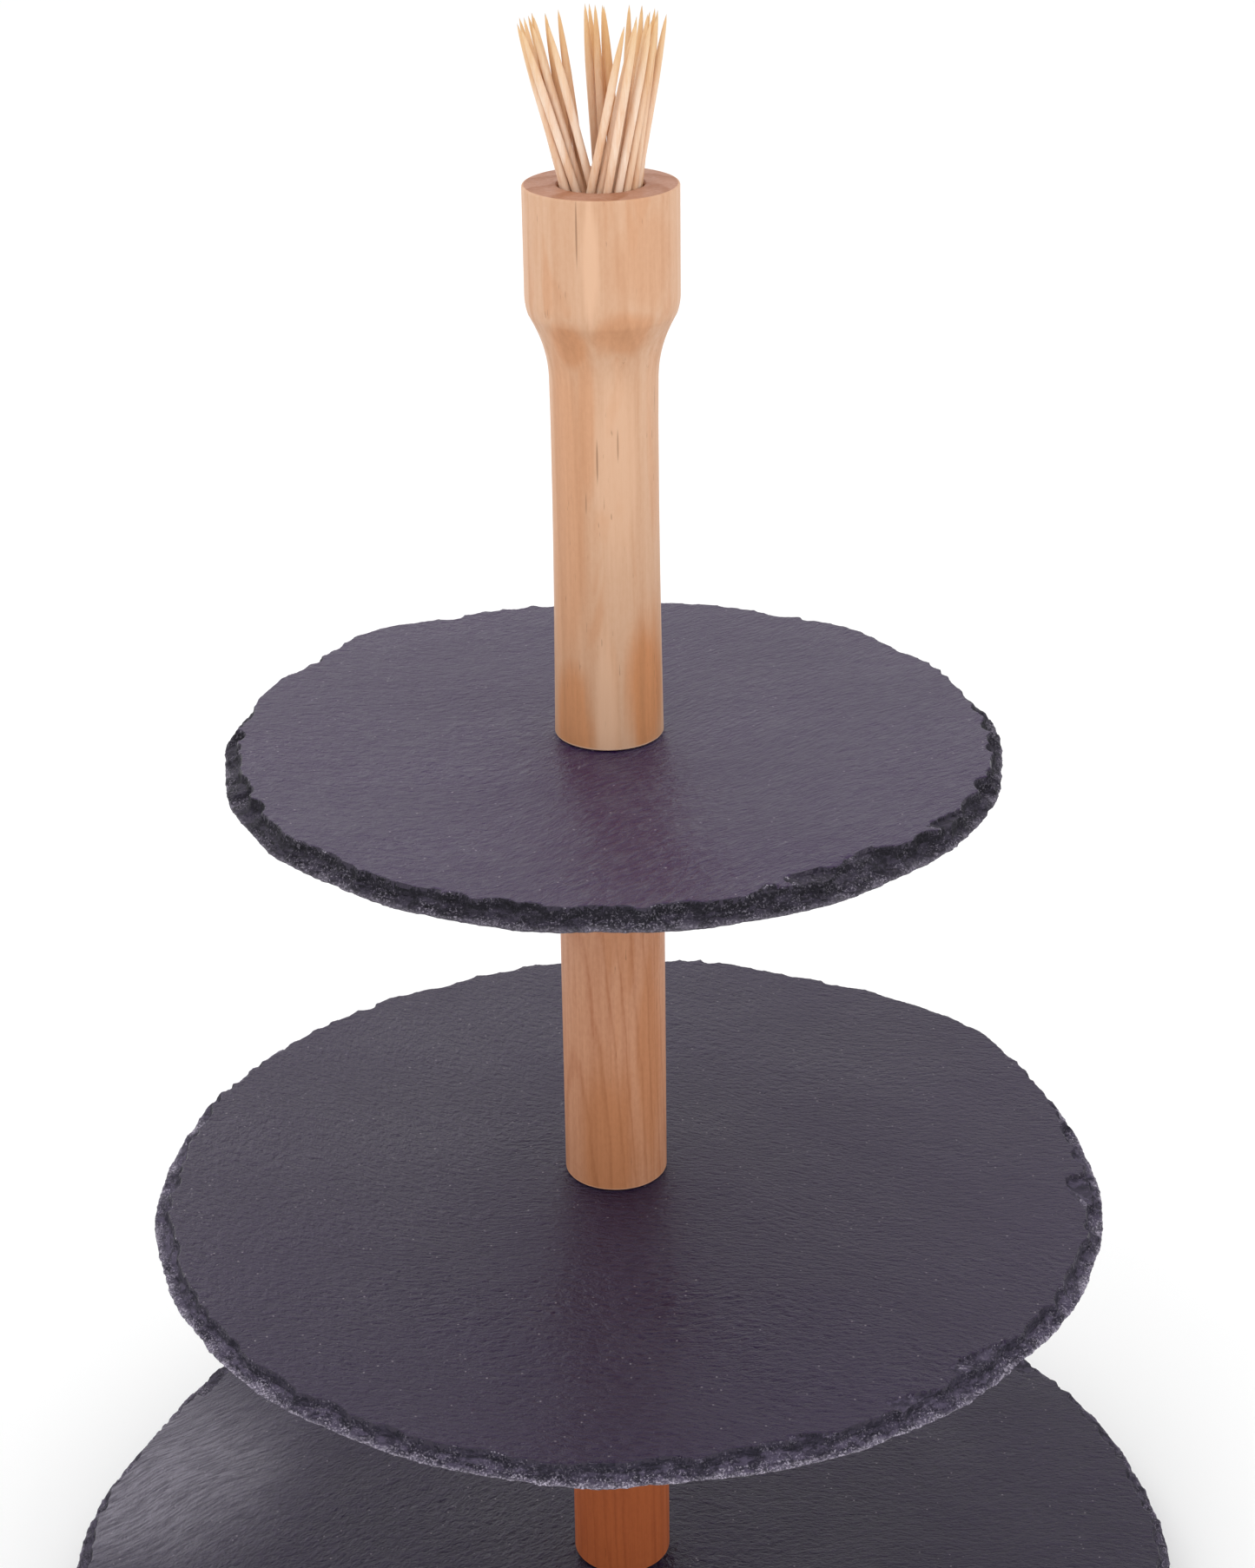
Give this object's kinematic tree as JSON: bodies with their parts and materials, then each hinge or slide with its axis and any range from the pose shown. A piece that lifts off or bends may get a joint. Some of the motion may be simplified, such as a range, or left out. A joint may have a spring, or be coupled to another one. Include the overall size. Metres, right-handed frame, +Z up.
{
  "type": "tiered cake stand",
  "caption": "Tiered serving stand: riven round slate plates clamped by threaded studs on a turned wooden stem, with a toothpick cup bored in the top of the handle.",
  "frame": {"origin": "on the table, under the stem's axis, at the middle of the bottom plate's width and depth", "axes": "+Z up along the stem; +Y away from a viewer who faces the stand; +X to that viewer's right"},
  "size_m": [0.3248, 0.3252, 0.4622],
  "materials": {
    "slate": "riven, matt to satin, chipped edge",
    "column_wood": "turned softwood, oiled, satin",
    "handle_wood": "turned softwood, oiled, satin",
    "toothpick_wood": "raw birch, matt",
    "rubber": "matt",
    "steel": "zinc plated, threaded",
    "brass": "machined"
  },
  "bodies": {
    "base": {"bottom_slate": "slate", "foot_1": "rubber", "foot_2": "rubber", "foot_3": "rubber", "foot_4": "rubber", "base_rubber_washer": "rubber", "base_steel_washer": "steel", "base_screw": "steel"},
    "lower_column_thread": {"lower_column_washer": "rubber"},
    "lower_column": {"lower_column": "column_wood", "lower_column_insert": "brass", "lower_column_stud": "steel", "lower_column_top_washer": "rubber"},
    "middle_slate": {"middle_slate": "slate"},
    "upper_column_thread": {"upper_column_washer": "rubber"},
    "upper_column": {"upper_column": "column_wood", "upper_column_insert": "brass", "upper_column_stud": "steel", "upper_column_top_washer": "rubber"},
    "top_slate": {"top_slate": "slate"},
    "handle_thread": {"handle_washer": "rubber"},
    "handle": {"handle": "handle_wood", "handle_insert": "brass"},
    "toothpick_01": {"toothpick_01": "toothpick_wood"},
    "toothpick_02": {"toothpick_02": "toothpick_wood"},
    "toothpick_03": {"toothpick_03": "toothpick_wood"},
    "toothpick_04": {"toothpick_04": "toothpick_wood"},
    "toothpick_05": {"toothpick_05": "toothpick_wood"},
    "toothpick_06": {"toothpick_06": "toothpick_wood"},
    "toothpick_07": {"toothpick_07": "toothpick_wood"},
    "toothpick_08": {"toothpick_08": "toothpick_wood"},
    "toothpick_09": {"toothpick_09": "toothpick_wood"},
    "toothpick_10": {"toothpick_10": "toothpick_wood"},
    "toothpick_11": {"toothpick_11": "toothpick_wood"},
    "toothpick_12": {"toothpick_12": "toothpick_wood"},
    "toothpick_13": {"toothpick_13": "toothpick_wood"},
    "toothpick_14": {"toothpick_14": "toothpick_wood"},
    "toothpick_15": {"toothpick_15": "toothpick_wood"},
    "toothpick_16": {"toothpick_16": "toothpick_wood"},
    "toothpick_17": {"toothpick_17": "toothpick_wood"},
    "toothpick_18": {"toothpick_18": "toothpick_wood"},
    "toothpick_19": {"toothpick_19": "toothpick_wood"},
    "toothpick_20": {"toothpick_20": "toothpick_wood"},
    "toothpick_21": {"toothpick_21": "toothpick_wood"},
    "toothpick_22": {"toothpick_22": "toothpick_wood"},
    "toothpick_23": {"toothpick_23": "toothpick_wood"},
    "toothpick_24": {"toothpick_24": "toothpick_wood"},
    "toothpick_25": {"toothpick_25": "toothpick_wood"},
    "toothpick_26": {"toothpick_26": "toothpick_wood"},
    "toothpick_27": {"toothpick_27": "toothpick_wood"},
    "toothpick_28": {"toothpick_28": "toothpick_wood"},
    "toothpick_29": {"toothpick_29": "toothpick_wood"},
    "toothpick_30": {"toothpick_30": "toothpick_wood"},
    "toothpick_31": {"toothpick_31": "toothpick_wood"},
    "toothpick_32": {"toothpick_32": "toothpick_wood"}
  },
  "joints": [
    {"name": "turn_lower_column", "type": "hinge", "parent": "base", "child": "lower_column_thread", "pos_m": [0, 0, 0.0148], "axis": [0, 0, 1], "range_deg": [0, 4040]},
    {"name": "rise_lower_column", "type": "slide", "parent": "lower_column_thread", "child": "lower_column", "axis": [0, 0, 1], "range_m": [0, 0.014]},
    {"name": "spin_middle_slate", "type": "hinge", "parent": "lower_column", "child": "middle_slate", "pos_m": [0, 0, 0.1468], "axis": [0, 0, 1], "continuous": true},
    {"name": "turn_upper_column", "type": "hinge", "parent": "lower_column", "child": "upper_column_thread", "pos_m": [0, 0, 0.1468], "axis": [0, 0, 1], "range_deg": [0, 4040]},
    {"name": "rise_upper_column", "type": "slide", "parent": "upper_column_thread", "child": "upper_column", "axis": [0, 0, 1], "range_m": [0, 0.014]},
    {"name": "spin_top_slate", "type": "hinge", "parent": "upper_column", "child": "top_slate", "pos_m": [0, 0, 0.2788], "axis": [0, 0, 1], "continuous": true},
    {"name": "turn_handle", "type": "hinge", "parent": "upper_column", "child": "handle_thread", "pos_m": [0, 0, 0.2788], "axis": [0, 0, 1], "range_deg": [0, 4040]},
    {"name": "rise_handle", "type": "slide", "parent": "handle_thread", "child": "handle", "axis": [0, 0, 1], "range_m": [0, 0.014]},
    {"name": "withdraw_toothpick_01", "type": "slide", "parent": "handle", "child": "toothpick_01", "axis": [-0.2984, -0.0369, 0.9537], "range_m": [0, 0.026]},
    {"name": "withdraw_toothpick_02", "type": "slide", "parent": "handle", "child": "toothpick_02", "axis": [-0.2391, -0.0508, 0.9697], "range_m": [0, 0.026]},
    {"name": "withdraw_toothpick_03", "type": "slide", "parent": "handle", "child": "toothpick_03", "axis": [-0.2645, 0.0138, 0.9643], "range_m": [0, 0.026]},
    {"name": "withdraw_toothpick_04", "type": "slide", "parent": "handle", "child": "toothpick_04", "axis": [-0.2631, -0.0423, 0.9638], "range_m": [0, 0.026]},
    {"name": "withdraw_toothpick_05", "type": "slide", "parent": "handle", "child": "toothpick_05", "axis": [-0.2077, 0.03, 0.9777], "range_m": [0, 0.026]},
    {"name": "withdraw_toothpick_06", "type": "slide", "parent": "handle", "child": "toothpick_06", "axis": [-0.2077, 0.0239, 0.9779], "range_m": [0, 0.026]},
    {"name": "withdraw_toothpick_07", "type": "slide", "parent": "handle", "child": "toothpick_07", "axis": [-0.2347, 0.0277, 0.9717], "range_m": [0, 0.026]},
    {"name": "withdraw_toothpick_08", "type": "slide", "parent": "handle", "child": "toothpick_08", "axis": [-0.1477, -0.06, 0.9872], "range_m": [0, 0.026]},
    {"name": "withdraw_toothpick_09", "type": "slide", "parent": "handle", "child": "toothpick_09", "axis": [-0.1731, 0.0092, 0.9849], "range_m": [0, 0.026]},
    {"name": "withdraw_toothpick_10", "type": "slide", "parent": "handle", "child": "toothpick_10", "axis": [-0.1284, 0.0246, 0.9914], "range_m": [0, 0.026]},
    {"name": "withdraw_toothpick_11", "type": "slide", "parent": "handle", "child": "toothpick_11", "axis": [-0.2515, -0.0231, 0.9676], "range_m": [0, 0.026]},
    {"name": "withdraw_toothpick_12", "type": "slide", "parent": "handle", "child": "toothpick_12", "axis": [-0.2146, -0.0777, 0.9736], "range_m": [0, 0.026]},
    {"name": "withdraw_toothpick_13", "type": "slide", "parent": "handle", "child": "toothpick_13", "axis": [-0.0569, 0.1154, 0.9917], "range_m": [0, 0.026]},
    {"name": "withdraw_toothpick_14", "type": "slide", "parent": "handle", "child": "toothpick_14", "axis": [-0.08, 0.1869, 0.9791], "range_m": [0, 0.026]},
    {"name": "withdraw_toothpick_15", "type": "slide", "parent": "handle", "child": "toothpick_15", "axis": [-0.04, 0.1292, 0.9908], "range_m": [0, 0.026]},
    {"name": "withdraw_toothpick_16", "type": "slide", "parent": "handle", "child": "toothpick_16", "axis": [-0.0508, 0.2215, 0.9738], "range_m": [0, 0.026]},
    {"name": "withdraw_toothpick_17", "type": "slide", "parent": "handle", "child": "toothpick_17", "axis": [-0.0738, 0.1723, 0.9823], "range_m": [0, 0.026]},
    {"name": "withdraw_toothpick_18", "type": "slide", "parent": "handle", "child": "toothpick_18", "axis": [0.1869, 0.0808, 0.9791], "range_m": [0, 0.026]},
    {"name": "withdraw_toothpick_19", "type": "slide", "parent": "handle", "child": "toothpick_19", "axis": [0.1508, 0.14, 0.9786], "range_m": [0, 0.026]},
    {"name": "withdraw_toothpick_20", "type": "slide", "parent": "handle", "child": "toothpick_20", "axis": [0.1531, 0.0908, 0.984], "range_m": [0, 0.026]},
    {"name": "withdraw_toothpick_21", "type": "slide", "parent": "handle", "child": "toothpick_21", "axis": [0.1854, 0.1323, 0.9737], "range_m": [0, 0.026]},
    {"name": "withdraw_toothpick_22", "type": "slide", "parent": "handle", "child": "toothpick_22", "axis": [0.0992, 0.0308, 0.9946], "range_m": [0, 0.026]},
    {"name": "withdraw_toothpick_23", "type": "slide", "parent": "handle", "child": "toothpick_23", "axis": [0.1223, 0.1623, 0.9791], "range_m": [0, 0.026]},
    {"name": "withdraw_toothpick_24", "type": "slide", "parent": "handle", "child": "toothpick_24", "axis": [0.1907, 0.0708, 0.9791], "range_m": [0, 0.026]},
    {"name": "withdraw_toothpick_25", "type": "slide", "parent": "handle", "child": "toothpick_25", "axis": [0.1139, 0.1616, 0.9803], "range_m": [0, 0.026]},
    {"name": "withdraw_toothpick_26", "type": "slide", "parent": "handle", "child": "toothpick_26", "axis": [0.04, -0.0115, 0.9991], "range_m": [0, 0.026]},
    {"name": "withdraw_toothpick_27", "type": "slide", "parent": "handle", "child": "toothpick_27", "axis": [0.0723, 0.0408, 0.9966], "range_m": [0, 0.026]},
    {"name": "withdraw_toothpick_28", "type": "slide", "parent": "handle", "child": "toothpick_28", "axis": [0.21, -0.1008, 0.9725], "range_m": [0, 0.026]},
    {"name": "withdraw_toothpick_29", "type": "slide", "parent": "handle", "child": "toothpick_29", "axis": [0.2138, -0.0223, 0.9766], "range_m": [0, 0.026]},
    {"name": "withdraw_toothpick_30", "type": "slide", "parent": "handle", "child": "toothpick_30", "axis": [0.1839, -0.0646, 0.9808], "range_m": [0, 0.026]},
    {"name": "withdraw_toothpick_31", "type": "slide", "parent": "handle", "child": "toothpick_31", "axis": [0.1492, 0.0246, 0.9885], "range_m": [0, 0.026]},
    {"name": "withdraw_toothpick_32", "type": "slide", "parent": "handle", "child": "toothpick_32", "axis": [0.2039, 0.0446, 0.978], "range_m": [0, 0.026]}
  ],
  "couplings": [
    {"joint": "turn_lower_column", "follows": "rise_lower_column", "rad_per_m": 5026.5},
    {"joint": "turn_upper_column", "follows": "rise_upper_column", "rad_per_m": 5026.5},
    {"joint": "turn_handle", "follows": "rise_handle", "rad_per_m": 5026.5}
  ]
}
